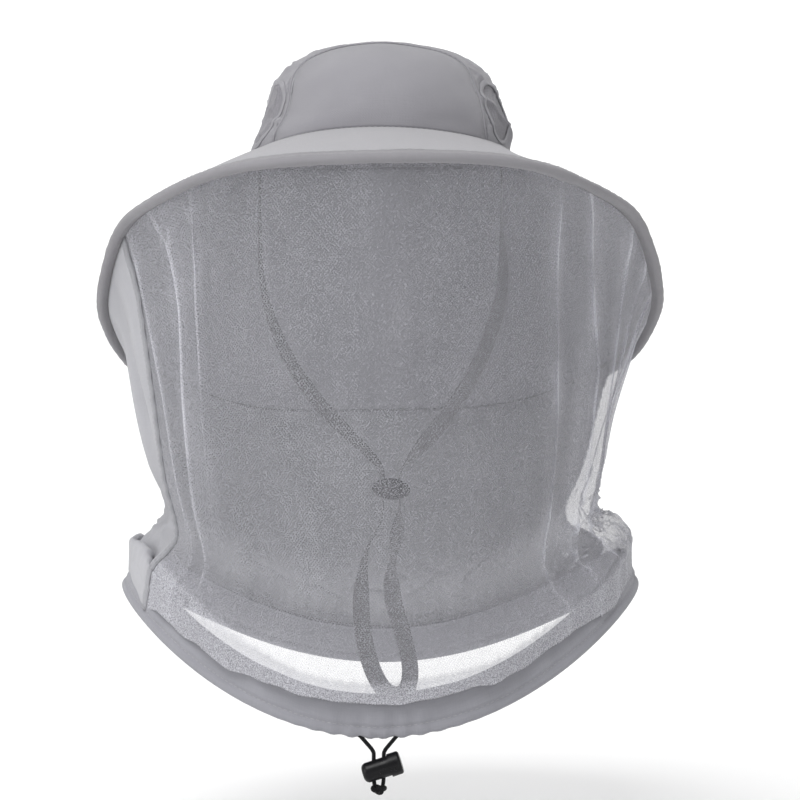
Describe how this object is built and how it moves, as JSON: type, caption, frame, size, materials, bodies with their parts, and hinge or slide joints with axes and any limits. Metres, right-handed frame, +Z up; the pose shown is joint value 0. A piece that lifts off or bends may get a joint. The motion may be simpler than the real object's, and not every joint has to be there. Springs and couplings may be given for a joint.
{
  "type": "beekeeping veil",
  "caption": "Soft wide-brim hat carrying a see-through net over the face and a cloth neck cape, closed below by a drawcord hem with a cord lock, with a sliding chin strap inside.",
  "frame": {"origin": "centre of the head opening, in the plane where the crown is sewn to the brim", "axes": "+Z up along the wearer's head, -Y the way the face looks, +X the wearer's left"},
  "size_m": [0.3558, 0.3759, 0.4379],
  "materials": {
    "hat_cloth": "matte",
    "seam_tape": "matte",
    "vent_mesh": "matte",
    "binding_cloth": "matte",
    "sweatband_cloth": "matte",
    "brim_cloth": "matte",
    "brim_foam": "matte",
    "brim_lining": "matte",
    "face_net": "matte",
    "cape_cloth": "matte",
    "hem_cloth": "matte",
    "elastic_cord": "matte",
    "lock_plastic": "gloss",
    "spring_steel": "satin",
    "strap_webbing": "matte",
    "slider_plastic": "matte"
  },
  "bodies": {
    "hat": {"crown_front_panel": "hat_cloth", "crown_rear_panel": "hat_cloth", "crown_middle_strip": "hat_cloth", "crown_seam_tape_front": "seam_tape", "crown_seam_tape_rear": "seam_tape", "vent_mesh_left": "vent_mesh", "vent_mesh_right": "vent_mesh", "vent_rim_left": "binding_cloth", "vent_rim_right": "binding_cloth", "sweatband": "sweatband_cloth", "brim_upper_cloth": "brim_cloth", "brim_stiffener": "brim_foam", "brim_lower_cloth": "brim_lining", "brim_edge_binding": "binding_cloth", "face_net": "face_net", "neck_cape": "cape_cloth", "side_seam_left": "seam_tape", "side_seam_right": "seam_tape", "hem_casing": "hem_cloth", "hem_drawcord": "elastic_cord", "drawcord_leg_left": "elastic_cord", "drawcord_leg_right": "elastic_cord", "cord_knot": "elastic_cord", "chin_strap": "strap_webbing", "chin_strap_anchor_left": "strap_webbing", "chin_strap_anchor_right": "strap_webbing"},
    "chin_slider": {"chin_slider": "slider_plastic"},
    "cord_lock": {"cord_lock_body": "lock_plastic", "cord_lock_spring": "spring_steel"},
    "lock_plunger": {"cord_lock_plunger": "lock_plastic"}
  },
  "joints": [
    {"name": "chin_slider_slide", "type": "slide", "parent": "hat", "child": "chin_slider", "axis": [0, 0, 1], "range_m": [-0.008, 0.003]},
    {"name": "cord_lock_slide", "type": "slide", "parent": "hat", "child": "cord_lock", "axis": [0, 0, 1], "range_m": [-0.0015, 0.001]},
    {"name": "lock_plunger_press", "type": "slide", "parent": "cord_lock", "child": "lock_plunger", "axis": [-0.9511, 0, -0.309], "range_m": [0, 0.0016], "stiffness_N_per_m": 300, "springref_m": -0.004, "deforming": ["cord_lock_spring"]}
  ]
}
